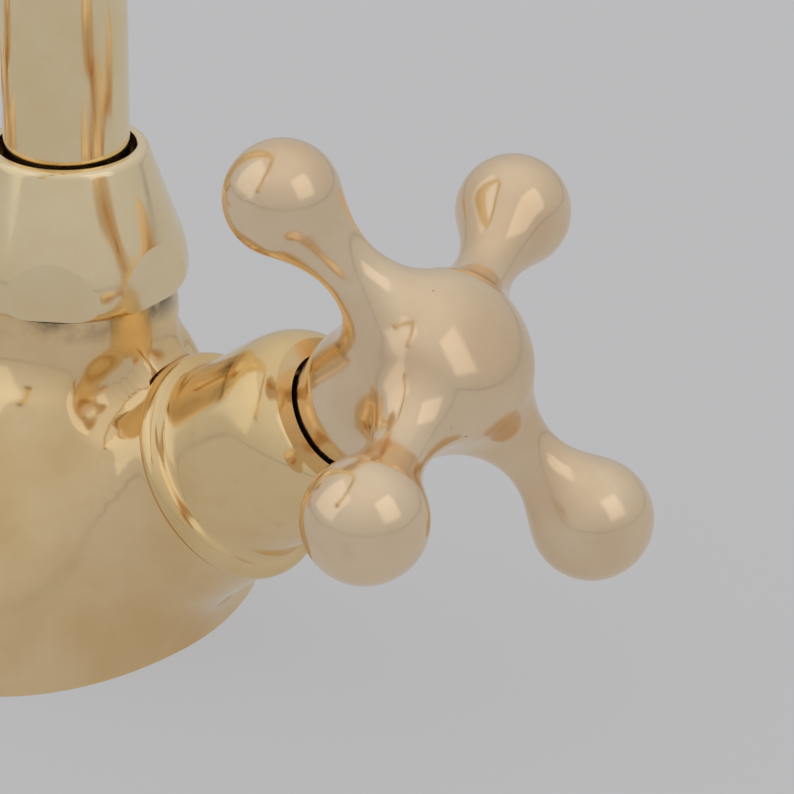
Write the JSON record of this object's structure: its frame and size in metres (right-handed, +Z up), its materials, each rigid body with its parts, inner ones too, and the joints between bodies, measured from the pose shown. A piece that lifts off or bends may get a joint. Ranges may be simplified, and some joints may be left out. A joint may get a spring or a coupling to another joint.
{
  "type": "bathroom mixer faucet",
  "caption": "Basin mixer faucet in polished brass: oval cast body, cross handles on raised side valves, and a swivelling swan-neck spout held by a coned hexagonal nut.",
  "frame": {"origin": "middle of the oval foot's underside, on the deck, under the spout's riser", "axes": "+Z up along the riser, the spout reaches towards -Y, the cold valve rises towards +X and the hot valve towards -X"},
  "size_m": [0.1484, 0.1584, 0.2155],
  "materials": {
    "body_brass": "hand polished, unlacquered",
    "handle_brass": "cast and hand polished, paler than the body",
    "turned_brass": "turned",
    "seal_rubber": "moulded nitrile",
    "acetal": "moulded",
    "valve_ceramic": "lapped alumina",
    "steel": "stainless"
  },
  "bodies": {
    "faucet_body": {"body_casting": "body_brass", "foot_gasket": "seal_rubber", "spout_nut": "body_brass", "spout_slip_ring": "acetal", "cold_seat_seal": "seal_rubber", "cold_fixed_disc": "valve_ceramic", "cold_headwork": "turned_brass", "cold_headwork_seal": "seal_rubber", "cold_bell": "body_brass", "hot_seat_seal": "seal_rubber", "hot_fixed_disc": "valve_ceramic", "hot_headwork": "turned_brass", "hot_headwork_seal": "seal_rubber", "hot_bell": "body_brass"},
    "spout": {"spout_tube": "body_brass", "spout_collar": "turned_brass", "spout_seals": "seal_rubber", "outlet_ferrule": "body_brass", "outlet_washer": "seal_rubber", "outlet_insert": "acetal", "outlet_cap": "body_brass"},
    "cold_cross": {"cold_turning_disc": "valve_ceramic", "cold_spindle": "turned_brass", "cold_stem_seals": "seal_rubber", "cold_spindle_clip": "steel", "cold_handle": "handle_brass", "cold_set_screw": "steel"},
    "hot_cross": {"hot_turning_disc": "valve_ceramic", "hot_spindle": "turned_brass", "hot_stem_seals": "seal_rubber", "hot_spindle_clip": "steel", "hot_handle": "handle_brass", "hot_set_screw": "steel"}
  },
  "joints": [
    {"name": "spout_swivel", "type": "hinge", "parent": "faucet_body", "child": "spout", "pos_m": [0, 0, 0.05], "axis": [0, 0, 1], "continuous": true},
    {"name": "cold_turn", "type": "hinge", "parent": "faucet_body", "child": "cold_cross", "pos_m": [0, 0, 0.00705], "axis": [0.809, 0, 0.5878], "range_deg": [-90, 0]},
    {"name": "hot_turn", "type": "hinge", "parent": "faucet_body", "child": "hot_cross", "pos_m": [0, 0, 0.00705], "axis": [-0.809, 0, 0.5878], "range_deg": [0, 90]}
  ]
}
